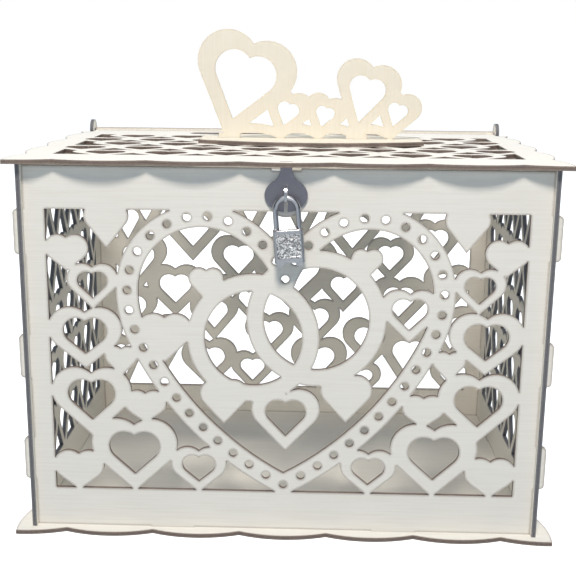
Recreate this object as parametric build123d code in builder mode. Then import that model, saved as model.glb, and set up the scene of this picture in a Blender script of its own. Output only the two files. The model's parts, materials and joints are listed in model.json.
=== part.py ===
"""Wedding card box: a slot-together plywood box with fretwork walls, a hinged lid, a standing topper
and a small padlock through a staple on the front.

Origin: centre of the base plate's underside. X runs across the front, Y to the back, Z up. Millimetres.
"""
import os
from math import asin, atan2, cos, hypot, pi, radians, sin, sqrt

from build123d import *

os.makedirs("parts", exist_ok=True)

# ---- driving sizes of the box ----
box_width = 300.0  # across the outer faces of the side panels
box_depth = 217.0  # length of a side panel
wall_height = 217.0  # base top to lid underside
sheet = 2.5  # plywood thickness
front_gap = 1.5  # front panel stops this far below the lid
front_recess = 3.8  # front panel's face behind the side panels' front edges
back_recess = 1.5  # back panel's face inside the side panels' back edges
fit = 0.1  # clearance all round a tab in its slot

inner_half = box_width / 2 - sheet
front_edge = -box_depth / 2
back_edge = box_depth / 2
front_face = front_edge + front_recess
back_inner = back_edge - back_recess - sheet
base_top = sheet
front_top = base_top + wall_height - front_gap
lid_under = base_top + wall_height
lid_top = lid_under + sheet

# ---- scalloped edges of base and lid ----
lobe_pitch = 51.7
lobe_depth = 5.0
lobe_radius = ((lobe_pitch / 2) ** 2 + lobe_depth**2) / (2 * lobe_depth)
base_overhang = 8.6  # base corner beyond a side panel's outer face
lid_overhang = 6.2
edge_lead = 1.0  # base cusps in front of the side panels' edges
corner_lead = 5.2  # how far a corner stands out from the line of the cusps
side_cusp_inset = 4.6  # cusps of the short edges, in from the corner

# ---- slots and tabs ----
side_tab_length = 26.0
side_tab_centres = (42.2, 105.0, wall_height - 38.8)  # up from the base top
side_tab_proud = 3.6
side_tab_corner = 2.4
foot_tab_length = 26.0
foot_tab_offset = 66.0
side_foot_offset = 62.0

# ---- fretwork windows ----
stile = 12.0  # solid margin beside a window
bottom_rail = 23.8
top_rail = 24.0
back_bottom_rail = 21.0
lid_margin_front = 30.0
lid_margin_back = 39.0
field_width = 271.0  # the patterns are drawn for this window and stretched to fit
field_height = 167.7

# ---- hinge of the lid ----
ear_width = 14.3
ear_rise = 8.0  # ear above the lid's top
pin_width = 5.0
pin_proud = 0.8
pin_hole_radius = hypot(pin_width, sheet) / 2 + 0.05
pin_gap = 0.3  # lid edge to the ear's inner face
hinge_y = back_edge - ear_width / 2
hinge_z = lid_under + sheet / 2
back_rise = 2.0  # back panel above the lid's top, where the open lid leans
ear_clearance = 0.4

# ---- card slot ----
card_slot_length = 148.0
card_slot_width = 12.0
card_slot_y = hinge_y - 17.0

# ---- hasp and staple ----
hasp_gap = 0.2
hasp_width = 24.0
hasp_height = 18.6
hasp_centre = lid_under - 16.1
hasp_neck = 6.6
hasp_sheet = 1.2
hasp_notch = 16.6  # notch of the front panel's top edge, where the hasp passes
hasp_notch_depth = 1.3
hasp_shoulder = 2.8  # straight neck below the lid before it flares
staple_sheet = 1.6
staple_height = 9.2
staple_centre = lid_under - 15.0
staple_head = 18.0
staple_head_depth = 4.0
staple_hole = 2.1
staple_reach = 3.9  # staple beyond the centre of its hole

# ---- padlock ----
lock_tilt = 4.5
rod_radius = 1.5
rod_spread = 12.6  # between the two legs' centres
crown_y = front_edge - 2.8
crown_z = lid_under - 16.8
lock_top = -17.9  # heights of the padlock are measured from the crown, along the lock
lock_height = 17.0
lock_width = 16.9
lock_depth = 8.0
slide_fit = 0.05
heel_length = 14.0  # leg inside the body
toe_length = 6.6
face_margin = 1.7
face_depth = 0.8
face_plate = 0.7
latch_size = 2.9
latch_length = 5.4
latch_throw = 1.0
latch_drop = 3.3  # top of the body to the top of the latch
cylinder_radius = 3.2
cylinder_length = 9.4
cam_radius = 0.4
base_plate_t = 0.8
lug_radius = 2.4
lug_spread = 11.0

# ---- topper ----
topper_x = 13.0
topper_y = front_edge + 128.0
topper_foot_length = 146.0
topper_foot_depth = 72.0
topper_foot_end = 36.0
topper_sheet = 3.0
topper_tab_length = 14.0


def mirrored(points):
    """The same points on both sides of the middle."""
    return [(side * x, *rest) for x, *rest in points for side in (-1, 1)]


def heart_face(x, tip, width, height):
    """Heart with its point at (x, tip): two straight sides tangent to two round lobes."""
    radius = 0.3 * width
    lobe_x = 0.2 * width
    lobe_z = height - radius
    reach = hypot(lobe_x, lobe_z)
    slope = atan2(lobe_z, lobe_x) - asin(radius / reach)
    side = sqrt(reach**2 - radius**2)
    notch = (x, tip + lobe_z + sqrt(radius**2 - lobe_x**2))
    with BuildLine(mode=Mode.PRIVATE) as outline:
        for hand in (1, -1):
            shoulder = (x + hand * side * cos(slope), tip + side * sin(slope))
            crest = (x + hand * (lobe_x + radius * cos(pi / 4)), tip + lobe_z + radius * sin(pi / 4))
            Line((x, tip), shoulder)
            ThreePointArc(shoulder, crest, notch)
    return make_face(outline.edges(), mode=Mode.PRIVATE).face()


def heart_hole(x, tip, width, height, share=0.585):
    """The opening of a hollow heart, a smaller heart inside it."""
    rise = 0.57 * (1 - share) * height
    return heart_face(x, tip + rise, share * width, share * height)


def band_faces(edges, width):
    """A band of even width along a line."""
    return list(trace(edges, line_width=width, mode=Mode.PRIVATE).faces())


def ring_face(x, z, radius, band):
    """A round ring."""
    with BuildSketch(mode=Mode.PRIVATE) as ring:
        with Locations((x, z)):
            Circle(radius)
            Circle(radius - band, mode=Mode.SUBTRACT)
    return ring.sketch.face()


def dot_face(x, z, radius):
    """A round dot or hole."""
    with BuildSketch(mode=Mode.PRIVATE) as dot:
        with Locations((x, z)):
            Circle(radius)
    return dot.sketch.face()


def stretch(hearts, centre, low, width, height):
    """Fits hearts drawn for the standard field into a window, keeping what touches touching."""
    wide = width / field_width
    tall = height / field_height
    return [
        (centre + x * wide, low + (tip - bottom_rail) * tall, w * wide, h * tall) for x, tip, w, h in hearts
    ]


def heart_rows(columns, rows, pitch_x, pitch_z, first_tip):
    """Rows of touching hearts, every second row half a heart along, in two alternating sizes."""
    hearts = []
    for row in range(rows):
        count = columns + row % 2
        for column in range(count):
            x = (column - (count - 1) / 2) * pitch_x
            grow = 1.5 if (row + column) % 2 else -0.5
            hearts.append((x, first_tip + row * pitch_z - grow, pitch_x + 4.0 + grow, pitch_z + 6.5 + grow))
    return hearts


# ---- base plate ----
def scalloped_outline(half_width, front, back, side_cusps):
    """Closed outline of round lobes, with cusps between them and a corner at each end of an edge."""
    cusp_xs = [(i - 2.5) * lobe_pitch for i in range(6)]
    long_low = [(x, front + corner_lead) for x in cusp_xs]
    long_high = [(-x, back - corner_lead) for x in cusp_xs]
    inset = half_width - side_cusp_inset
    right = [(inset, y) for y in side_cusps]
    left = [(-inset, y) for y in reversed(side_cusps)]
    points = [(-half_width, front), *long_low, (half_width, front), *right]
    points += [(half_width, back), *long_high, (-half_width, back), *left]
    for start, end in zip(points, points[1:] + points[:1]):
        RadiusArc(start, end, -lobe_radius)


base_half = box_width / 2 + base_overhang
base_front = front_edge - edge_lead - corner_lead
base_side_cusps = [(i - 1.5) * lobe_pitch for i in range(4)]

with BuildPart() as base_plate:
    with BuildSketch():
        with BuildLine():
            scalloped_outline(base_half, base_front, -base_front, base_side_cusps)
        make_face()
        for y in (front_face + sheet / 2, back_inner + sheet / 2):
            with Locations((-foot_tab_offset, y), (foot_tab_offset, y)):
                Rectangle(foot_tab_length + 2 * fit, sheet + 2 * fit, mode=Mode.SUBTRACT)
        for x in (-inner_half - sheet / 2, inner_half + sheet / 2):
            with Locations((x, -side_foot_offset), (x, side_foot_offset)):
                Rectangle(sheet + 2 * fit, foot_tab_length + 2 * fit, mode=Mode.SUBTRACT)
    extrude(amount=sheet)
base_plate.part.label = "base_plate"
export_step(base_plate.part, "parts/base_plate.step")


# ---- front and back panels: shared outline ----
def cross_panel_outline(top):
    """A panel between the side panels, with three tabs a side and two feet, in its own X and Z."""
    with Locations((0, (base_top + top) / 2)):
        Rectangle(2 * inner_half, top - base_top)
    with Locations((-foot_tab_offset, base_top / 2), (foot_tab_offset, base_top / 2)):
        Rectangle(foot_tab_length, sheet)
    reach = sheet + side_tab_proud
    for hand in (-1, 1):
        for centre in side_tab_centres:
            with BuildSketch(mode=Mode.PRIVATE) as tab:
                with Locations((hand * (inner_half + reach / 2 - sheet / 2), base_top + centre)):
                    Rectangle(reach + sheet, side_tab_length)
                fillet(tab.vertices().group_by(Axis.X)[-1 if hand > 0 else 0], side_tab_corner)
            add(tab.sketch)


window_half = inner_half - stile
window_low = base_top + bottom_rail
window_high = front_top - top_rail
window_height = window_high - window_low

# Hearts of the front panel: place across, point, width and height in the standard field.
front_solid_hearts = mirrored(
    [
        (101, 169.5, 25.2, 26),
        (124, 156, 25, 21),
        (94.5, 94, 19, 18),
        (81, 65.5, 24.6, 20),
        (121.5, 22.5, 30, 25),
    ]
)
front_hollow_hearts = mirrored(
    [
        (109.8, 134, 29.4, 26.5),
        (115, 98.5, 43, 36.5),
        (112.4, 57, 47, 42),
        (88, 22.5, 51, 45.5),
        (50, 22.5, 33, 28.5),
    ]
)


def field_point(x, z):
    """A point of the standard field in the front window."""
    return (x * 2 * window_half / field_width, window_low + (z - bottom_rail) * window_height / field_height)


# The large heart band: one side of its middle line, from the bottom point up round the lobe to the dip.
band_width = 12.6
with BuildLine(mode=Mode.PRIVATE) as band_half:
    side_run = ThreePointArc(field_point(0, 28.5), field_point(53, 69.7), field_point(84.5, 118))
    shoulder_run = TangentArc(side_run @ 1, field_point(90, 148), tangent=side_run % 1)
    outer_lobe = TangentArc(shoulder_run @ 1, field_point(67, 183.6), tangent=shoulder_run % 1)
    top_lobe = TangentArc(outer_lobe @ 1, field_point(28.5, 184), tangent=outer_lobe % 1)
    TangentArc(top_lobe @ 1, field_point(0, 153), tangent=top_lobe % 1)
right_band = band_faces(band_half.edges(), band_width)
band_line = Wire(band_half.edges())
dot_spaces = 24
dot_radius = 2.35
dots = [band_line @ (i / dot_spaces) for i in range(dot_spaces + 1)]
band_dots = [dot_face(dot.X, dot.Y, dot_radius) for dot in dots]
band_dots += [dot_face(-dot.X, dot.Y, dot_radius) for dot in dots[1:-1]]
band = right_band + [face.mirror(Plane.YZ) for face in right_band]
band += [dot_face(*field_point(0, 152.6), band_width / 2), dot_face(*field_point(0, 28.5), band_width / 2)]

# Ornament inside the band: two linked rings over three hearts, held to the band by a heart each side.
ring_band = 10.0
left_ring = (-18, 118, 38)
right_ring = (18, 130, 40)
ornament = [ring_face(*field_point(x, z), r, ring_band) for x, z, r in (left_ring, right_ring)]
ornament_hollow_hearts = [(71, 117, 34, 31), (1, 50, 40, 38)]
ornament_solid_hearts = [
    (-69, 103, 32, 29),
    (-35, 66, 28, 27),
    (36, 68, 30, 29),
    (-45, 140, 20, 19),
    (46, 154, 18, 17),
]

front_window = (0, window_low, 2 * window_half, window_height)
front_hollow = stretch(front_hollow_hearts + ornament_hollow_hearts, *front_window)
front_solid = stretch(front_solid_hearts + ornament_solid_hearts, *front_window)
front_pieces = [heart_face(*h) for h in front_hollow + front_solid] + band + ornament
front_holes = [heart_hole(*h) for h in front_hollow] + band_dots

with BuildPart() as front_panel:
    with BuildSketch(Plane.XZ.offset(-front_face - sheet)):
        cross_panel_outline(front_top)
        with Locations((0, (window_low + window_high) / 2)):
            Rectangle(2 * window_half, window_height, mode=Mode.SUBTRACT)
        with Locations((0, front_top)):
            Rectangle(hasp_notch, 2 * hasp_notch_depth, mode=Mode.SUBTRACT)
        with Locations((0, hasp_centre)):
            Ellipse(hasp_width / 2 - 0.4, hasp_height / 2 + 3.2)
        add(front_pieces)
        add(front_holes, mode=Mode.SUBTRACT)
        with Locations((0, staple_centre)):
            Rectangle(staple_sheet + 2 * fit, staple_height + 2 * fit, mode=Mode.SUBTRACT)
    extrude(amount=sheet)
front_panel.part.label = "front_panel"
export_step(front_panel.part, "parts/front_panel.step")

# ---- back panel ----
back_top = lid_top + back_rise
back_window_low = base_top + back_bottom_rail
back_hearts = [
    (3, 82, 66, 60),
    (-41, 102, 42, 40),
    (-76, 122, 46, 44),
    (-90, 79, 44, 40),
    (-33, 78, 28, 26),
    (-60, 60, 38, 38),
    (-17, 47, 38, 36),
    (-64, 22, 44, 40),
    (75, 108, 36, 34),
    (83, 70, 44, 42),
    (61, 40, 42, 40),
    (40, 84, 36, 34),
    (22, 22, 44, 42),
    (92, 20, 46, 52),
    (-105, 22, 46, 58),
    (-30, 20, 34, 32),
    (124, 44, 40, 46),
    (120, 84, 38, 38),
    (108, 116, 38, 40),
    (127, 140, 36, 54),
    (-124, 60, 40, 42),
    (-118, 98, 44, 44),
    (-112, 138, 46, 56),
    (-68, 158, 40, 38),
    (-32, 136, 44, 57),
    (8, 138, 42, 56),
    (46, 122, 44, 44),
    (48, 158, 40, 36),
    (86, 138, 46, 56),
    (-130, 20, 30, 44),
    (56, 16, 30, 28),
    (127, 16, 36, 34),
    (18, 56, 40, 38),
    (-46, 88, 26, 24),
    (-126, 128, 32, 40),
]
back_share = 0.55
back_scaled = stretch(back_hearts, 0, back_window_low, 2 * window_half, window_high - back_window_low)

with BuildPart() as back_panel:
    with BuildSketch(Plane.XZ.offset(-back_inner - sheet)):
        cross_panel_outline(back_top)
        with Locations((0, (back_window_low + window_high) / 2)):
            Rectangle(2 * window_half, window_high - back_window_low, mode=Mode.SUBTRACT)
        add([heart_face(*h) for h in back_scaled])
        add([heart_hole(*h, back_share) for h in back_scaled], mode=Mode.SUBTRACT)
    extrude(amount=sheet)
back_panel.part.label = "back_panel"
export_step(back_panel.part, "parts/back_panel.step")

# ---- side panels ----
side_window_front = front_face + sheet + 17.0
side_window_back = back_inner - 17.0
side_window_width = side_window_back - side_window_front
side_hearts = stretch(
    heart_rows(5, 5, 50.0, 34.5, 17.0),
    (side_window_front + side_window_back) / 2,
    window_low,
    side_window_width,
    window_height,
)
ear_top = lid_top + ear_rise
ear_arch = ear_top - ear_width / 2


def side_profile():
    """A side panel in its own Y and Z: wall, feet, ear with its hinge hole, slots and fretwork."""
    with Locations((0, base_top + wall_height / 2)):
        Rectangle(box_depth, wall_height)
    with Locations((-side_foot_offset, base_top / 2), (side_foot_offset, base_top / 2)):
        Rectangle(foot_tab_length, sheet)
    with Locations((hinge_y, (lid_under + ear_arch) / 2)):
        Rectangle(ear_width, ear_arch - lid_under)
    with Locations((hinge_y, ear_arch)):
        Circle(ear_width / 2)
    with Locations(((side_window_front + side_window_back) / 2, (window_low + window_high) / 2)):
        Rectangle(side_window_width, window_height, mode=Mode.SUBTRACT)
    add([heart_face(*h) for h in side_hearts])
    add([heart_hole(*h) for h in side_hearts], mode=Mode.SUBTRACT)
    for y in (front_face + sheet / 2, back_inner + sheet / 2):
        with Locations(*[(y, base_top + centre) for centre in side_tab_centres]):
            Rectangle(sheet + 2 * fit, side_tab_length + 2 * fit, mode=Mode.SUBTRACT)
    with Locations((hinge_y, hinge_z)):
        Circle(pin_hole_radius, mode=Mode.SUBTRACT)


with BuildPart() as left_panel:
    with BuildSketch(Plane.YZ.offset(-inner_half - sheet)):
        side_profile()
    extrude(amount=sheet)
left_panel.part.label = "left_panel"
export_step(left_panel.part, "parts/left_panel.step")

with BuildPart() as right_panel:
    with BuildSketch(Plane.YZ.offset(inner_half)):
        side_profile()
    extrude(amount=sheet)
right_panel.part.label = "right_panel"
export_step(right_panel.part, "parts/right_panel.step")

# ---- lid ----
lid_half = box_width / 2 + lid_overhang
lid_front = front_edge - corner_lead
lid_back = hinge_y + pin_width / 2
ear_reach = hypot(ear_width / 2, ear_arch + ear_width / 2 - hinge_z)
notch_front = hinge_y - ear_reach - ear_clearance
lid_body_half = inner_half - pin_gap
lid_window_front = front_edge + lid_margin_front
lid_window_back = lid_back - lid_margin_back
lid_hearts = stretch(
    heart_rows(7, 5, 36.0, 34.5, 17.0),
    0,
    lid_window_front,
    2 * window_half,
    lid_window_back - lid_window_front,
)
hasp_back = front_face - hasp_gap
hasp_mid = hasp_back - hasp_sheet / 2

with BuildPart() as lid_panel:
    with BuildSketch(Plane.XY.offset(lid_under)):
        with BuildLine():
            scalloped_outline(lid_half, lid_front, -lid_front, base_side_cusps)
        make_face()
        with Locations((0, lid_back)):
            Rectangle(3 * lid_half, box_depth, align=(Align.CENTER, Align.MIN), mode=Mode.SUBTRACT)
        for hand in (-1, 1):
            with Locations((hand * lid_body_half, notch_front)):
                corner_align = (Align.MIN if hand > 0 else Align.MAX, Align.MIN)
                Rectangle(lid_half, box_depth, align=corner_align, mode=Mode.SUBTRACT)
        with Locations((0, hinge_y)):
            Rectangle(box_width + 2 * pin_proud, pin_width)
        with Locations((0, (lid_window_front + lid_window_back) / 2)):
            Rectangle(2 * window_half, lid_window_back - lid_window_front, mode=Mode.SUBTRACT)
        add([heart_face(*h) for h in lid_hearts])
        add([heart_hole(*h) for h in lid_hearts], mode=Mode.SUBTRACT)
        with Locations((0, card_slot_y)):
            RectangleRounded(card_slot_length, card_slot_width, card_slot_width / 2 - 0.5, mode=Mode.SUBTRACT)
        with Locations((0, hasp_mid)):
            Rectangle(hasp_neck + 2 * fit, hasp_sheet + 2 * fit, mode=Mode.SUBTRACT)
    extrude(amount=sheet)
lid_panel.part.label = "lid_panel"
export_step(lid_panel.part, "parts/lid_panel.step")

# ---- hasp: a rounded steel plate hanging from the lid, forked so that it lifts off the staple ----
neck_foot = hasp_centre + hasp_height / 2 - 2.0
with BuildPart() as hasp_plate:
    with BuildSketch(Plane.XZ.offset(-hasp_back)):
        with Locations((0, hasp_centre)):
            Ellipse(hasp_width / 2, hasp_height / 2)
        with Locations((0, (neck_foot + lid_top) / 2)):
            Rectangle(hasp_neck, lid_top - neck_foot)
        with BuildLine():
            flare_top = lid_under - hasp_shoulder
            flare = [
                ThreePointArc(
                    (hand * hasp_neck / 2, flare_top),
                    (hand * (hasp_neck / 2 + 1.9), hasp_centre + hasp_height / 2),
                    (hand * hasp_width * 0.39, hasp_centre + hasp_height * 0.31),
                )
                for hand in (-1, 1)
            ]
            Line(flare[0] @ 0, flare[1] @ 0)
            Line(flare[0] @ 1, flare[1] @ 1)
        make_face()
        with Locations((0, staple_centre + staple_height / 2 + fit)):
            Rectangle(
                staple_sheet + 4 * fit,
                2 * hasp_height,
                align=(Align.CENTER, Align.MAX),
                mode=Mode.SUBTRACT,
            )
    extrude(amount=hasp_sheet)
hasp_plate.part.label = "hasp_plate"
export_step(hasp_plate.part, "parts/hasp_plate.step")

# ---- staple: a steel tab pushed out through the front panel from inside, with a hole for the shackle ----
staple_front = crown_y - staple_reach
panel_back = front_face + sheet
with BuildPart() as staple_tab:
    with BuildSketch(Plane.YZ.offset(-staple_sheet / 2)):
        with Locations((staple_front, staple_centre)):
            Rectangle(panel_back - staple_front, staple_height, align=(Align.MIN, Align.CENTER))
        with Locations((panel_back, staple_centre)):
            Rectangle(staple_head_depth, staple_head, align=(Align.MIN, Align.CENTER))
        with BuildSketch(mode=Mode.PRIVATE) as staple_cut:
            with Locations((crown_y, crown_z)):
                Circle(staple_hole)
        add(staple_cut.sketch_local, mode=Mode.SUBTRACT)
    extrude(amount=staple_sheet)
    fillet(staple_tab.edges().filter_by(Axis.X).group_by(Axis.Y)[0], 3.0)
staple_tab.part.label = "staple_tab"
export_step(staple_tab.part, "parts/staple_tab.step")

# ---- topper: a foot on the lid and an upright flourish of hearts in its slots ----
foot_bulge = (topper_foot_depth - topper_foot_end) / 2
topper_top = lid_top + sheet
topper_tabs = (-54.0, 30.0)
with BuildPart() as topper_foot:
    with BuildSketch(Plane.XY.offset(lid_top)):
        with BuildLine():
            half = topper_foot_length / 2
            end = topper_foot_end / 2
            for hand in (-1, 1):
                ThreePointArc(
                    (topper_x - half, topper_y + hand * end),
                    (topper_x, topper_y + hand * (end + foot_bulge)),
                    (topper_x + half, topper_y + hand * end),
                )
                Line((topper_x + hand * half, topper_y - end), (topper_x + hand * half, topper_y + end))
        make_face()
        with Locations(*[(topper_x + x, topper_y) for x in topper_tabs]):
            Rectangle(topper_tab_length + 2 * fit, topper_sheet + 2 * fit, mode=Mode.SUBTRACT)
    extrude(amount=sheet)
topper_foot.part.label = "topper_foot"
export_step(topper_foot.part, "parts/topper_foot.step")


def leaning(face, x, z, lean):
    """A face turned clockwise about the origin, then placed on the topper's foot."""
    return face.rotate(Axis.Z, -lean).moved(Location((topper_x + x, topper_top + z, 0)))


# Hollow hearts in a leaning row: place, lift, width, height, lean and the opening's share.
topper_hearts = [
    (-56, -2, 66, 70, 16, 0.62),
    (-21, -2, 32, 34, 16, 0.44),
    (4, -2, 29, 31, 16, 0.42),
    (28, -2, 43, 53, 14, 0.56),
    (51, -2, 30, 34, 16, 0.44),
]
topper_faces = [leaning(heart_face(0, 0, w, h), x, z, lean) for x, z, w, h, lean, share in topper_hearts]
topper_openings = [
    leaning(heart_hole(0, 0, w, h, share), x, z, lean) for x, z, w, h, lean, share in topper_hearts
]
with BuildLine(mode=Mode.PRIVATE) as swags:
    for start, end in zip(topper_hearts, topper_hearts[1:]):
        low = (topper_x + start[0], topper_top + 3.0)
        high = (topper_x + end[0], topper_top + 3.0)
        ThreePointArc(low, ((low[0] + high[0]) / 2, topper_top + 6.5), high)
topper_faces += band_faces(swags.edges(), 6.0)
with BuildPart() as topper_panel:
    with BuildSketch(Plane.XZ.offset(-topper_y - topper_sheet / 2)):
        add(topper_faces)
        add(topper_openings, mode=Mode.SUBTRACT)
        with Locations((topper_x, topper_top)):
            Rectangle(3 * topper_foot_length, 30, align=(Align.CENTER, Align.MAX), mode=Mode.SUBTRACT)
        with Locations(*[(topper_x + x, topper_top - sheet) for x in topper_tabs]):
            Rectangle(topper_tab_length, sheet + 3.0, align=(Align.CENTER, Align.MIN))
    extrude(amount=topper_sheet)
topper_panel.part.label = "topper_panel"
export_step(topper_panel.part, "parts/topper_panel.step")

# ---- padlock: everything is placed from the crown of the shackle, on planes that lean with it ----
lean = radians(lock_tilt)
lock_x = Vector(cos(lean), 0, sin(lean))
lock_up = Vector(-sin(lean), 0, cos(lean))
crown = Vector(0, crown_y, crown_z)
lock_bottom = lock_top - lock_height
leg_x = rod_spread / 2


def lock_front(out):
    """Plane facing forward, this far in front of the shackle's middle."""
    return Plane(origin=crown, x_dir=lock_x, z_dir=(0, -1, 0)).offset(out)


def lock_level(height):
    """Plane across the lock at this height above the crown."""
    return Plane(origin=crown + lock_up * height, x_dir=lock_x, z_dir=lock_up)


bore_radius = rod_radius + slide_fit
latch_top = lock_top - latch_drop
latch_channel = latch_size + 2 * slide_fit
cylinder_top = latch_top - latch_size - slide_fit
cylinder_bore = cylinder_radius + slide_fit
cylinder_low = cylinder_top - cylinder_length
retainer_z = cylinder_low + 1.6
retainer_radius = 0.5
groove_depth = 0.6
latch_nose = leg_x - rod_radius - slide_fit
latch_tail = latch_nose - latch_length
channel_tail = latch_tail - 3.0
face_width = lock_width - 2 * face_margin
face_height = lock_height - 2 * face_margin
face_middle = lock_top - lock_height / 2

with BuildPart() as padlock_body:
    with BuildSketch(lock_front(-lock_depth / 2)):
        with Locations((0, face_middle)):
            Rectangle(lock_width, lock_height)
    extrude(amount=lock_depth)
    fillet(padlock_body.edges().filter_by(lambda e: abs(e.tangent_at(0).dot(lock_up)) > 0.99), 2.0)
    with BuildSketch(lock_level(lock_top)):
        with Locations((-leg_x, 0)):
            Circle(bore_radius)
    extrude(amount=-heel_length - 1.8, mode=Mode.SUBTRACT)
    with BuildSketch(lock_level(lock_top)):
        with Locations((leg_x, 0)):
            Circle(bore_radius)
    extrude(amount=-toe_length - 0.5, mode=Mode.SUBTRACT)
    with BuildSketch(lock_level(lock_bottom)):
        Circle(cylinder_bore)
    extrude(amount=latch_top - latch_size - lock_bottom, mode=Mode.SUBTRACT)
    with BuildSketch(lock_level(latch_top + slide_fit)):
        with Locations(((channel_tail + leg_x) / 2, 0)):
            Rectangle(leg_x - channel_tail, latch_channel)
    extrude(amount=-latch_channel - slide_fit, mode=Mode.SUBTRACT)
    for out, way in ((lock_depth / 2, -1), (-lock_depth / 2, 1)):
        with BuildSketch(lock_front(out)):
            with Locations((0, face_middle)):
                RectangleRounded(face_width, face_height, 1.0)
        extrude(amount=way * face_depth, mode=Mode.SUBTRACT)
    with BuildSketch(lock_front(-lock_depth / 2)):
        with Locations((0, retainer_z)):
            Circle(retainer_radius)
    extrude(amount=lock_depth / 2, mode=Mode.SUBTRACT)
padlock_body.part.label = "padlock_body"
export_step(padlock_body.part, "parts/padlock_body.step")

for name, out in (("padlock_face", lock_depth / 2 - face_depth), ("padlock_back", -lock_depth / 2 + 0.1)):
    with BuildPart() as plate:
        with BuildSketch(lock_front(out)):
            with Locations((0, face_middle)):
                RectangleRounded(face_width - 2 * slide_fit, face_height - 2 * slide_fit, 0.95)
        extrude(amount=face_plate)
    plate.part.label = name
    export_step(plate.part, f"parts/{name}.step")

with BuildPart() as shackle:
    with BuildSketch(lock_level(-leg_x)):
        with Locations((leg_x, 0)):
            Circle(rod_radius)
    revolve(axis=Axis(crown - lock_up * leg_x, (0, -1, 0)), revolution_arc=180)
    with BuildSketch(lock_level(-leg_x)):
        with Locations((-leg_x, 0)):
            Circle(rod_radius)
    extrude(amount=lock_top - heel_length + leg_x)
    with BuildSketch(lock_level(-leg_x)):
        with Locations((leg_x, 0)):
            Circle(rod_radius)
    extrude(amount=lock_top - toe_length + leg_x)
    with BuildSketch(lock_level(latch_top + 2 * slide_fit)):
        with Locations((leg_x - rod_radius, 0)):
            Rectangle(2 * (latch_throw + slide_fit), 2 * rod_radius)
    extrude(amount=-latch_size - 4 * slide_fit, mode=Mode.SUBTRACT)
shackle.part.label = "shackle"
export_step(shackle.part, "parts/shackle.step")

with BuildPart() as locking_latch:
    with BuildSketch(lock_level(latch_top)):
        with Locations(((latch_nose + latch_tail) / 2, 0)):
            Rectangle(latch_length, latch_size)
    extrude(amount=-latch_size)
    with BuildSketch(lock_level(latch_top - latch_size)):
        Rectangle(2 * cam_radius + 0.8, latch_size)
    extrude(amount=1.2, mode=Mode.SUBTRACT)
locking_latch.part.label = "locking_latch"
export_step(locking_latch.part, "parts/locking_latch.step")

spring_wire = 0.25
with BuildPart() as latch_spring:
    spring_end = crown + lock_up * (latch_top - latch_size / 2) + lock_x * (channel_tail + 0.3)
    with BuildLine():
        latch_coil = Helix(pitch=0.6, height=2.4, radius=0.95, center=spring_end, direction=lock_x)
    with BuildSketch(Plane(origin=latch_coil @ 0, z_dir=latch_coil % 0)):
        Circle(spring_wire)
    sweep(path=latch_coil)
latch_spring.part.label = "latch_spring"
export_step(latch_spring.part, "parts/latch_spring.step")

with BuildPart() as shackle_spring:
    spring_foot = crown + lock_up * (lock_top - heel_length - 1.5) + lock_x * -leg_x
    with BuildLine():
        shackle_coil = Helix(pitch=0.6, height=1.2, radius=1.0, center=spring_foot, direction=lock_up)
    with BuildSketch(Plane(origin=shackle_coil @ 0, z_dir=shackle_coil % 0)):
        Circle(spring_wire)
    sweep(path=shackle_coil)
shackle_spring.part.label = "shackle_spring"
export_step(shackle_spring.part, "parts/shackle_spring.step")

keyway = (1.1, 4.4)
wafer_size = (2.6, 5.2)
wafer_heights = [cylinder_low + 3.4 + 1.6 * i for i in range(3)]
with BuildPart() as key_cylinder:
    with BuildSketch(lock_level(cylinder_low)):
        Circle(cylinder_radius)
    extrude(amount=cylinder_length)
    with BuildSketch(lock_level(cylinder_top)):
        with Locations((0, latch_throw)):
            Circle(cam_radius)
    extrude(amount=0.95)
    with BuildSketch(lock_level(cylinder_low)):
        Rectangle(keyway[0], keyway[1])
    extrude(amount=cylinder_length - 1.2, mode=Mode.SUBTRACT)
    for height in wafer_heights:
        with BuildSketch(lock_level(height)):
            Rectangle(wafer_size[0] + 2 * slide_fit, wafer_size[1] + 2 * slide_fit)
        extrude(amount=0.6, mode=Mode.SUBTRACT)
    with BuildSketch(lock_level(retainer_z - retainer_radius - slide_fit)):
        Circle(cylinder_radius + 1)
        Circle(cylinder_radius - groove_depth, mode=Mode.SUBTRACT)
    extrude(amount=2 * (retainer_radius + slide_fit), mode=Mode.SUBTRACT)
key_cylinder.part.label = "key_cylinder"
export_step(key_cylinder.part, "parts/key_cylinder.step")

with BuildPart() as wafers:
    for height in wafer_heights:
        with BuildSketch(lock_level(height + slide_fit)):
            Rectangle(*wafer_size)
            Rectangle(keyway[0] + 0.1, keyway[1] - 1.0, mode=Mode.SUBTRACT)
        extrude(amount=0.5)
wafers.part.label = "cylinder_wafers"
export_step(wafers.part, "parts/cylinder_wafers.step")

with BuildPart() as retainer:
    with BuildSketch(lock_front(-lock_depth / 2 + face_depth)):
        with Locations((0, retainer_z)):
            Circle(retainer_radius)
    extrude(amount=lock_depth / 2 - face_depth - cylinder_radius + groove_depth - slide_fit)
retainer.part.label = "cylinder_retainer"
export_step(retainer.part, "parts/cylinder_retainer.step")

with BuildPart() as padlock_base:
    with BuildSketch(lock_level(lock_bottom)):
        RectangleRounded(lock_width, lock_depth, 2.0)
        Circle(2.5, mode=Mode.SUBTRACT)
    extrude(amount=-base_plate_t)
    with BuildSketch(lock_front(-lock_depth * 0.36)):
        with Locations(*[(x, lock_bottom - base_plate_t) for x in (-lug_spread / 2, lug_spread / 2)]):
            Circle(lug_radius)
        with Locations((0, lock_bottom - base_plate_t / 2)):
            Rectangle(2 * lock_width, 2 * lug_radius, align=(Align.CENTER, Align.MIN), mode=Mode.SUBTRACT)
    extrude(amount=lock_depth * 0.72)
padlock_base.part.label = "padlock_base"
export_step(padlock_base.part, "parts/padlock_base.step")
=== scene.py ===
import json
from math import cos, pi, radians, sin

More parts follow.
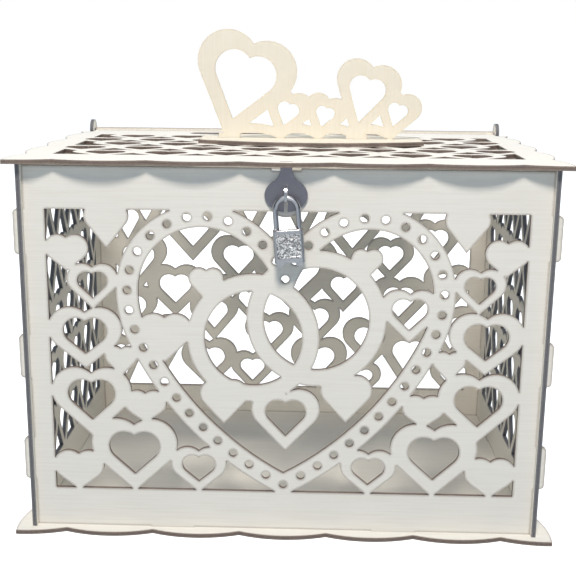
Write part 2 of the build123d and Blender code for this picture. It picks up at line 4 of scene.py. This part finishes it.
import bmesh
import bpy
from mathutils import Euler, Matrix, Vector, noise


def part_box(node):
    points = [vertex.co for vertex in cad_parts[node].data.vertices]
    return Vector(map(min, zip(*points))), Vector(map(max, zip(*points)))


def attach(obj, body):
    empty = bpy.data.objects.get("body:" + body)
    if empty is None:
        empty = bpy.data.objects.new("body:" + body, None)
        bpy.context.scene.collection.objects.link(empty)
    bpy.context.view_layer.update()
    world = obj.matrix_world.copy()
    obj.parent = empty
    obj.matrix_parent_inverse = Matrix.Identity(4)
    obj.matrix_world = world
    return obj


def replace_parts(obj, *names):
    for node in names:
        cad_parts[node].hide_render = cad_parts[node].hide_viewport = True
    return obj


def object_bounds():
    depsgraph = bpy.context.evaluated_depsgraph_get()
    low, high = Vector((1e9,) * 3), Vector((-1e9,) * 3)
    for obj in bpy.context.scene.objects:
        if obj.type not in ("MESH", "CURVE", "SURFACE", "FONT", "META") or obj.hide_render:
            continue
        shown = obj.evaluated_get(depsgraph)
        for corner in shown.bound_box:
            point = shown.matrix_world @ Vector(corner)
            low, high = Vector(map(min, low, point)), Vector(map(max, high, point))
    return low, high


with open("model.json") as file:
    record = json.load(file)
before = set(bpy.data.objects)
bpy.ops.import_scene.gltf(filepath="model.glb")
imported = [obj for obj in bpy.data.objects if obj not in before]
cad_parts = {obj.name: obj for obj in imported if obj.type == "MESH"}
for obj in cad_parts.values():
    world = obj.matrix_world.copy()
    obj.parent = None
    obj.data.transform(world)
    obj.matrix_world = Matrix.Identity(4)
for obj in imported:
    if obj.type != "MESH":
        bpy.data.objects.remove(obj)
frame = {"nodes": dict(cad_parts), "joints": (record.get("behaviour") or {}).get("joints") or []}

cad_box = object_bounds()

# ---- base plate ----
# The floor of the box: a sheet of three-ply birch, cut by laser to a scalloped outline and washed with
# white paint. The walls stand in its slots, and the cut leaves its edges scorched brown.
wash = (0.80, 0.785, 0.745)
wash_in_grain = (0.755, 0.735, 0.685)
scorched = (0.12, 0.092, 0.08)
scorched_light = (0.26, 0.205, 0.175)
across_grain, along_grain = 900.0, 28.0
singe_reach = 0.0015  # how far from a cut edge the face is singed
singe_share = 0.75


def joined(tree, kind, inputs=None, **settings):
    """A new node with its settings made and its inputs set or linked."""
    made = tree.nodes.new(kind)
    for key, value in settings.items():
        setattr(made, key, value)
    for key, value in (inputs or {}).items():
        if isinstance(value, bpy.types.NodeSocket):
            tree.links.new(value, made.inputs[key])
        else:
            made.inputs[key].default_value = value
    return made


def new_finish(name):
    """An empty finish: its node tree and its surface shader."""
    finish = bpy.data.materials.new(name)
    finish.use_nodes = True
    return finish, finish.node_tree, finish.node_tree.nodes["Principled BSDF"]


def colour(rgb):
    return (*rgb, 1.0)


def blended(tree, share, first, second):
    """Two colours mixed by a share from 0 to 1."""
    mix = tree.nodes.new("ShaderNodeMix")
    mix.data_type = "RGBA"
    tree.links.new(share, mix.inputs["Factor"])
    for place, value in (("A", first), ("B", second)):
        socket = [s for s in mix.inputs if s.name == place and s.type == "RGBA"][0]
        if isinstance(value, bpy.types.NodeSocket):
            tree.links.new(value, socket)
        else:
            socket.default_value = value
    return [s for s in mix.outputs if s.type == "RGBA"][0]


def washed_ply(
    name, node, thick, grain, face=wash, face_in_grain=wash_in_grain, ply=(scorched, scorched_light)
):
    """Painted plywood: grained faces singed beside the cuts, and cut edges that show the plies."""
    low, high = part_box(node)
    axis = "XYZ".index(thick)
    finish, tree, skin = new_finish(name)
    place = joined(tree, "ShaderNodeTexCoord")
    turned = joined(tree, "ShaderNodeSeparateXYZ", {0: place.outputs["Normal"]})
    facing = joined(tree, "ShaderNodeMath", {0: turned.outputs[axis]}, operation="ABSOLUTE")
    is_face = joined(tree, "ShaderNodeMath", {0: facing.outputs[0], 1: 0.7}, operation="GREATER_THAN")

    fine = [across_grain] * 3
    fine["XYZ".index(grain)] = along_grain
    along = joined(tree, "ShaderNodeMapping", {"Vector": place.outputs["Object"], "Scale": fine})
    fibres = joined(tree, "ShaderNodeTexNoise", {"Vector": along.outputs[0], "Scale": 1.0, "Detail": 5.0})
    clouds = joined(
        tree, "ShaderNodeTexNoise", {"Vector": place.outputs["Object"], "Scale": 14.0, "Detail": 3.0}
    )
    fibre_share = joined(
        tree, "ShaderNodeMapRange", {"Value": fibres.outputs[0], "From Min": 0.42, "From Max": 0.72}
    )
    cloud_share = joined(
        tree,
        "ShaderNodeMapRange",
        {"Value": clouds.outputs[0], "From Min": 0.35, "From Max": 0.8, "To Max": 0.45},
    )
    paint = blended(tree, fibre_share.outputs[0], colour(face), colour(face_in_grain))
    paint = blended(tree, cloud_share.outputs[0], paint, colour(face_in_grain))
    rim = joined(
        tree,
        "ShaderNodeAmbientOcclusion",
        {"Distance": singe_reach},
        samples=3,
        inside=True,
        only_local=True,
    )
    singe = joined(
        tree,
        "ShaderNodeMapRange",
        {"Value": rim.outputs["AO"], "From Min": 0.5, "From Max": 1.0, "To Min": singe_share, "To Max": 0.0},
    )
    paint = blended(tree, singe.outputs[0], paint, colour(ply[1]))

    spot = joined(tree, "ShaderNodeSeparateXYZ", {0: place.outputs["Object"]})
    layer = joined(
        tree,
        "ShaderNodeMapRange",
        {"Value": spot.outputs[axis], "From Min": low[axis], "From Max": high[axis], "To Max": 3 * pi},
    )
    wave = joined(tree, "ShaderNodeMath", {0: layer.outputs[0]}, operation="SINE")
    soot = joined(
        tree, "ShaderNodeTexNoise", {"Vector": place.outputs["Object"], "Scale": 700.0, "Detail": 3.0}
    )
    burnt = joined(
        tree,
        "ShaderNodeMath",
        {0: wave.outputs[0], 1: 0.3, 2: soot.outputs[0]},
        operation="MULTIPLY_ADD",
    )
    plies = blended(tree, burnt.outputs[0], colour(ply[0]), colour(ply[1]))
    tree.links.new(blended(tree, is_face.outputs[0], plies, paint), skin.inputs["Base Color"])

    rough = joined(tree, "ShaderNodeMapRange", {"Value": fibres.outputs[0], "To Min": 0.5, "To Max": 0.72})
    tree.links.new(rough.outputs[0], skin.inputs["Roughness"])
    raised = joined(
        tree, "ShaderNodeBump", {"Height": fibres.outputs[0], "Strength": 0.25, "Distance": 0.00012}
    )
    tree.links.new(raised.outputs[0], skin.inputs["Normal"])
    return finish


def finished(node, finish):
    """Gives a CAD node its finish."""
    for place in frame["nodes"][node].material_slots:
        place.material = finish


finished("base_plate", washed_ply("base_ply", "base_plate", "Z", "X"))

# ---- walls ----
# Four fretwork walls of the same sheet, each cut in one pass and slotted into the base and into one
# another: the front with its beaded heart and linked rings, the back and sides with plain hearts.
finished("front_panel", washed_ply("front_ply", "front_panel", "Y", "X"))
# The back and side walls take a brighter, warmer copy of the front's wash: painted light for the warm light
# bounced about inside the box.
bounce_lit_wash = (0.90, 0.865, 0.79)
bounce_lit_in_grain = (0.86, 0.82, 0.74)
# The side walls' cut edges and singed rims are painted grey-blue in place of scorched brown: painted shade
# for the cool shade that falls on them.
shade_grey_cut = ((0.085, 0.085, 0.095), (0.20, 0.20, 0.215))
finished("back_panel", washed_ply("back_ply", "back_panel", "Y", "X", bounce_lit_wash, bounce_lit_in_grain))
for node in ("left_panel", "right_panel"):
    finished(node, washed_ply(f"{node}_ply", node, "X", "Y", bounce_lit_wash, bounce_lit_in_grain, shade_grey_cut))

# ---- lid ----
# A scalloped sheet with a fretwork field and a slot for envelopes. Square ends of its rear strip turn
# in the ears of the side walls, so it hinges without any metal.
# The lid's wash is set lighter than the front wall's: a painted highlight for the light that falls on its
# top from above.
top_lit_wash = (0.86, 0.845, 0.80)
top_lit_in_grain = (0.82, 0.80, 0.75)
finished("lid_panel", washed_ply("lid_ply", "lid_panel", "Z", "X", top_lit_wash, top_lit_in_grain))

# ---- hasp ----
# A rounded plate of dark nickel-plated steel that hangs from the lid in front of the wall and straddles
# the staple. Its neck is held in a slot of the lid.
rub_scale = (3000.0, 3000.0, 300.0)  # rubbed marks run up and down


def plated(name, tint, roughness, scratch):
    """Plated metal with faint rubbed scratches."""
    finish, tree, skin = new_finish(name)
    skin.inputs["Metallic"].default_value = 1.0
    place = joined(tree, "ShaderNodeTexCoord")
    drawn = joined(tree, "ShaderNodeMapping", {"Vector": place.outputs["Object"], "Scale": rub_scale})
    rubbed = joined(tree, "ShaderNodeTexNoise", {"Vector": drawn.outputs[0], "Scale": 1.0, "Detail": 4.0})
    haze = joined(
        tree, "ShaderNodeTexNoise", {"Vector": place.outputs["Object"], "Scale": 260.0, "Detail": 2.0}
    )
    tone = blended(tree, haze.outputs[0], colour(tint), colour([0.8 * part for part in tint]))
    tree.links.new(tone, skin.inputs["Base Color"])
    spread = joined(
        tree,
        "ShaderNodeMapRange",
        {"Value": rubbed.outputs[0], "To Min": roughness, "To Max": roughness + scratch},
    )
    tree.links.new(spread.outputs[0], skin.inputs["Roughness"])
    raised = joined(
        tree, "ShaderNodeBump", {"Height": rubbed.outputs[0], "Strength": 0.1, "Distance": 0.00003}
    )
    tree.links.new(raised.outputs[0], skin.inputs["Normal"])
    return finish


finished("hasp_plate", plated("dark_nickel", (0.23, 0.23, 0.27), 0.3, 0.15))

# ---- staple ----
# A bright steel tab pushed out through the front wall from inside, with a hole for the padlock.
bright_chrome = plated("bright_chrome", (0.60, 0.60, 0.64), 0.07, 0.12)
finished("staple_tab", bright_chrome)

# ---- topper ----
# A leaning row of hollow hearts in thicker ply, painted cream all over, standing in a foot that is
# glued flat on the lid.
cream = (0.82, 0.775, 0.68)
cream_in_grain = (0.79, 0.735, 0.62)
cream_edge = ((0.60, 0.52, 0.38), (0.74, 0.67, 0.53))
finished("topper_foot", washed_ply("foot_cream", "topper_foot", "Z", "X", cream, cream_in_grain))
hearts_cream = washed_ply("hearts_cream", "topper_panel", "Y", "Z", cream, cream_in_grain, cream_edge)
finished("topper_panel", hearts_cream)

# ---- padlock case ----
# A small steel padlock: a plated case with a pressed, sparkling plate let into each side and a wavy
# foot with two rounded lugs. It hangs a little askew from the staple.
joint = {each["name"]: each for each in frame["joints"]}
crown = Vector(joint["padlock_swing"]["pos_m"])
lock_up = -Vector(joint["shackle_release"]["axis"])
lock_across = Vector(joint["latch_slide"]["axis"])
lock_out = Vector((0, -1, 0))
lock_place = Matrix((lock_across, lock_out, lock_up)).transposed().to_4x4()
lock_place.translation = crown


def sparkling(name, tint):
    """Pressed plate with a grain of tiny bumped facets, each coloured lighter or darker at random: a painted
    glint for the light the facets catch.
    """
    finish, tree, skin = new_finish(name)
    skin.inputs["Metallic"].default_value = 1.0
    place = joined(tree, "ShaderNodeTexCoord")
    facets = joined(tree, "ShaderNodeTexVoronoi", {"Vector": place.outputs["Object"], "Scale": 1500.0})
    dull = joined(
        tree, "ShaderNodeTexNoise", {"Vector": place.outputs["Object"], "Scale": 900.0, "Detail": 2.0}
    )
    # Painted glint: each facet cell's colour is set lighter or darker, standing for the light it catches.
    painted_glint = joined(tree, "ShaderNodeSeparateColor", {0: facets.outputs["Color"]})
    steep = joined(
        tree, "ShaderNodeMapRange", {"Value": painted_glint.outputs[0], "From Min": 0.3, "From Max": 0.7}
    )
    tone = blended(tree, steep.outputs[0], colour(tint), colour([0.3 * part for part in tint]))
    tree.links.new(tone, skin.inputs["Base Color"])
    spread = joined(tree, "ShaderNodeMapRange", {"Value": dull.outputs[0], "To Min": 0.15, "To Max": 0.5})
    tree.links.new(spread.outputs[0], skin.inputs["Roughness"])
    raised = joined(
        tree, "ShaderNodeBump", {"Height": facets.outputs["Distance"], "Strength": 0.9, "Distance": 0.0003}
    )
    tree.links.new(raised.outputs[0], skin.inputs["Normal"])
    return finish


case_plating = plated("case_plating", (0.62, 0.62, 0.65), 0.14, 0.2)
finished("padlock_body", case_plating)
finished("padlock_base", case_plating)
sparkle = sparkling("sparkle_plate", (0.85, 0.85, 0.87))

case_top, case_foot = -0.0179, -0.0349
case_width, case_depth, case_corner = 0.0169, 0.008, 0.002
plate_side, plate_sheet, plate_sunk = 0.0135, 0.0007, 0.0001
plate_border = 0.0007  # flat border of the pressed plate
relief = 0.00009  # height of its pressed grain
coarse_grain, fine_grain = 1900, 4100


def placed(piece, body):
    """Puts a padlock piece, drawn in the lock's own across, out and up, where the lock hangs."""
    bpy.context.scene.collection.objects.link(piece)
    piece.matrix_world = lock_place
    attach(piece, body)
    return piece


def pressed_plate(name, side):
    """A square plate pressed with a fine random relief, flat at its border."""
    steps = 72
    shape = bmesh.new()
    bmesh.ops.create_grid(shape, x_segments=steps, y_segments=steps, size=plate_side / 2)
    middle = (case_top + case_foot) / 2
    for corner in shape.verts:
        across, up = corner.co.x, corner.co.y
        border = plate_side / 2 - max(abs(across), abs(up))
        field = min(1.0, max(0.0, (border - plate_border) / 0.0004))
        coarse = noise.noise(Vector((across, up, side)) * coarse_grain)
        grain = coarse + 0.5 * noise.noise(Vector((up, across, side)) * fine_grain)
        rise = field * relief * grain - relief * field
        corner.co = Vector((across, side * (case_depth / 2 - plate_sunk + rise), middle + up))
    if side > 0:
        bmesh.ops.reverse_faces(shape, faces=shape.faces)
    mesh = bpy.data.meshes.new(name)
    shape.to_mesh(mesh)
    shape.free()
    mesh.materials.append(sparkle)
    plate = placed(bpy.data.objects.new(name, mesh), "padlock")
    thick = plate.modifiers.new("sheet", "SOLIDIFY")
    thick.thickness = plate_sheet - 2 * relief
    thick.offset = -1
    return plate


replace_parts(pressed_plate("pressed_face", 1), "padlock_face")
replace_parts(pressed_plate("pressed_back", -1), "padlock_back")


def case_bead(name, up, thick):
    """A rolled bead round the case at one height."""
    line = bpy.data.curves.new(name, "CURVE")
    line.dimensions = "3D"
    line.bevel_depth = thick
    line.bevel_resolution = 3
    line.resolution_u = 6
    half_w, half_d = case_width / 2 - case_corner - thick, case_depth / 2 - case_corner - thick
    corners = []
    for quarter in range(4):
        turn_x = half_w if quarter in (0, 3) else -half_w
        turn_y = half_d if quarter in (0, 1) else -half_d
        for step in range(5):
            angle = (quarter + step / 4) * pi / 2
            corners.append((turn_x + case_corner * cos(angle), turn_y + case_corner * sin(angle), up))
    run = line.splines.new("POLY")
    run.points.add(len(corners) - 1)
    for point, place in zip(run.points, corners):
        point.co = (*place, 1)
    run.use_cyclic_u = True
    line.materials.append(case_plating)
    return placed(bpy.data.objects.new(name, line), "padlock")


case_bead("top_bead", case_top + 0.00012, 0.00042)
case_bead("foot_bead", case_foot - 0.0001, 0.00036)

# The wavy apron pressed over the foot of the case, one on each side.
apron_sheet = 0.0003


def apron(name, side):
    """A thin strip whose lower edge swells over each lug and rises to a point between them."""
    steps = 40
    shape = bmesh.new()
    top_row, low_row = [], []
    for step in range(steps + 1):
        across = (step / steps - 0.5) * (case_width - 0.0024)
        share = abs(across) / (case_width / 2)
        low = case_foot - 0.0004 - 0.0011 * max(0.0, cos((share - 0.62) * 2.9)) ** 2
        high = case_foot + 0.0011 + 0.0006 * cos(share * 3 * pi)
        out = side * (case_depth / 2 - apron_sheet - 0.00001)
        top_row.append(shape.verts.new((across, out, high)))
        low_row.append(shape.verts.new((across, out, low)))
    for step in range(steps):
        ring = (low_row[step], low_row[step + 1], top_row[step + 1], top_row[step])
        shape.faces.new(ring if side < 0 else ring[::-1])
    mesh = bpy.data.meshes.new(name)
    shape.to_mesh(mesh)
    shape.free()
    mesh.materials.append(case_plating)
    strip = placed(bpy.data.objects.new(name, mesh), "padlock")
    thick = strip.modifiers.new("sheet", "SOLIDIFY")
    thick.thickness = apron_sheet
    thick.offset = -1
    return strip


apron("front_apron", 1)
apron("back_apron", -1)

# ---- shackle ----
# A round steel bar bent to a U and chromed, sprung in the case and notched for the latch.
finished("shackle", bright_chrome)

# ---- inside of the padlock ----
# The latch, its spring, the lifting spring and the pin that keeps the cylinder in are plain steel; the
# cylinder that the key turns and its three wafers are brass.
plain_steel = plated("plain_steel", (0.56, 0.56, 0.58), 0.3, 0.2)
for node in ("locking_latch", "latch_spring", "shackle_spring", "cylinder_retainer"):
    finished(node, plain_steel)
turned_brass = plated("turned_brass", (0.78, 0.60, 0.28), 0.22, 0.2)
for node in ("key_cylinder", "cylinder_wafers"):
    finished(node, turned_brass)

# ---- floor, light and camera ----
# A plain pale floor and pale light all round, with a soft light above the front, one overhead, and
# weaker ones at the sides and behind. Metal mirrors a bright card in front and darker ones beside it.
floor_mesh = bpy.data.meshes.new("pale_floor")
floor_shape = bmesh.new()
bmesh.ops.create_grid(floor_shape, x_segments=1, y_segments=1, size=6.0)
floor_shape.to_mesh(floor_mesh)
floor_shape.free()
floor = bpy.data.objects.new("pale_floor", floor_mesh)
bpy.context.scene.collection.objects.link(floor)
floor.location.z = cad_box[0].z - 0.0002
floor_finish, floor_tree, floor_skin = new_finish("pale_floor")
floor_skin.inputs["Base Color"].default_value = (0.48, 0.53, 0.57, 1)
floor_skin.inputs["Roughness"].default_value = 0.9
floor_skin.inputs["Emission Color"].default_value = (1, 1, 1, 1)
floor_sight = joined(floor_tree, "ShaderNodeLightPath")
floor_glow = joined(
    floor_tree, "ShaderNodeMath", {0: floor_sight.outputs["Is Camera Ray"], 1: 0.9}, operation="MULTIPLY"
)
floor_tree.links.new(floor_glow.outputs[0], floor_skin.inputs["Emission Strength"])
floor_mesh.materials.append(floor_finish)

sky = bpy.data.worlds.new("studio")
bpy.context.scene.world = sky
sky.use_nodes = True
sky_tree = sky.node_tree
surround = sky_tree.nodes["Background"]
surround.inputs["Color"].default_value = (0.55, 0.77, 1.0, 1)
surround.inputs["Strength"].default_value = 0.30
seen = joined(sky_tree, "ShaderNodeBackground", {"Color": (1, 1, 1, 1), "Strength": 1.0})
sight = joined(sky_tree, "ShaderNodeLightPath")
both = joined(sky_tree, "ShaderNodeMixShader", {0: sight.outputs["Is Camera Ray"]})
heading = joined(sky_tree, "ShaderNodeTexCoord")
sideways = joined(sky_tree, "ShaderNodeSeparateXYZ", {0: heading.outputs["Generated"]})
aside = joined(sky_tree, "ShaderNodeMath", {0: sideways.outputs["X"]}, operation="ABSOLUTE")
card = joined(
    sky_tree,
    "ShaderNodeMapRange",
    {"Value": aside.outputs[0], "From Min": 0.3, "From Max": 0.65, "To Min": 0.95, "To Max": 0.05},
)
mirrored = joined(
    sky_tree, "ShaderNodeBackground", {"Color": (0.9, 0.95, 1.0, 1), "Strength": card.outputs[0]}
)
lit = joined(sky_tree, "ShaderNodeMixShader", {0: sight.outputs["Is Glossy Ray"]})
sky_tree.links.new(surround.outputs[0], lit.inputs[1])
sky_tree.links.new(mirrored.outputs[0], lit.inputs[2])
sky_tree.links.new(lit.outputs[0], both.inputs[1])
sky_tree.links.new(seen.outputs[0], both.inputs[2])
sky_tree.links.new(both.outputs[0], sky_tree.nodes["World Output"].inputs["Surface"])


def soft_light(name, azimuth, elevation, distance, size, power, tint, mirrored_in_metal=True):
    """A square soft light aimed at the middle of the box, at angles round it and above the floor."""
    target = (cad_box[0] + cad_box[1]) / 2
    lamp = bpy.data.lights.new(name, "AREA")
    lamp.size = size
    lamp.energy = power
    lamp.color = tint
    holder = bpy.data.objects.new(name, lamp)
    bpy.context.scene.collection.objects.link(holder)
    turn, lift = radians(azimuth), radians(elevation)
    away = Vector((sin(turn) * cos(lift), -cos(turn) * cos(lift), sin(lift)))
    holder.location = target + away * distance
    holder.visible_glossy = mirrored_in_metal
    holder.rotation_euler = (-away).to_track_quat("-Z", "Y").to_euler()


soft_light("key_light", -3, 52, 1.8, 0.34, 27.5, (1.0, 0.915, 0.82))
soft_light("top_light", 0, 85, 1.6, 0.9, 4.2, (1.0, 0.98, 0.94))
lamplight = (1.0, 0.93, 0.84)
soft_light("right_light", 108, 14, 1.8, 0.8, 8, lamplight, False)
soft_light("left_light", -108, 14, 1.8, 0.8, 8, lamplight, False)
soft_light("back_light", 180, 16, 1.8, 0.8, 8, lamplight, False)
soft_light("through_light", 4, 12, 2.2, 0.5, 2.0, (1.0, 0.94, 0.86))

view = bpy.data.cameras.new("view")
view.lens = 65.5
view.shift_x = 0.0196
view.shift_y = 0.0413
eye = bpy.data.objects.new("view", view)
bpy.context.scene.collection.objects.link(eye)
turned_down = Euler((radians(90 - 14.078), 0, radians(1.826))).to_matrix()
stance = (turned_down @ Matrix.Rotation(radians(0.516), 3, "Z")).to_4x4()
stance.translation = Vector((0.0138, -0.6831, 0.2818))
eye.matrix_world = stance
bpy.context.scene.camera = eye
bpy.context.scene.view_settings.view_transform = "Standard"
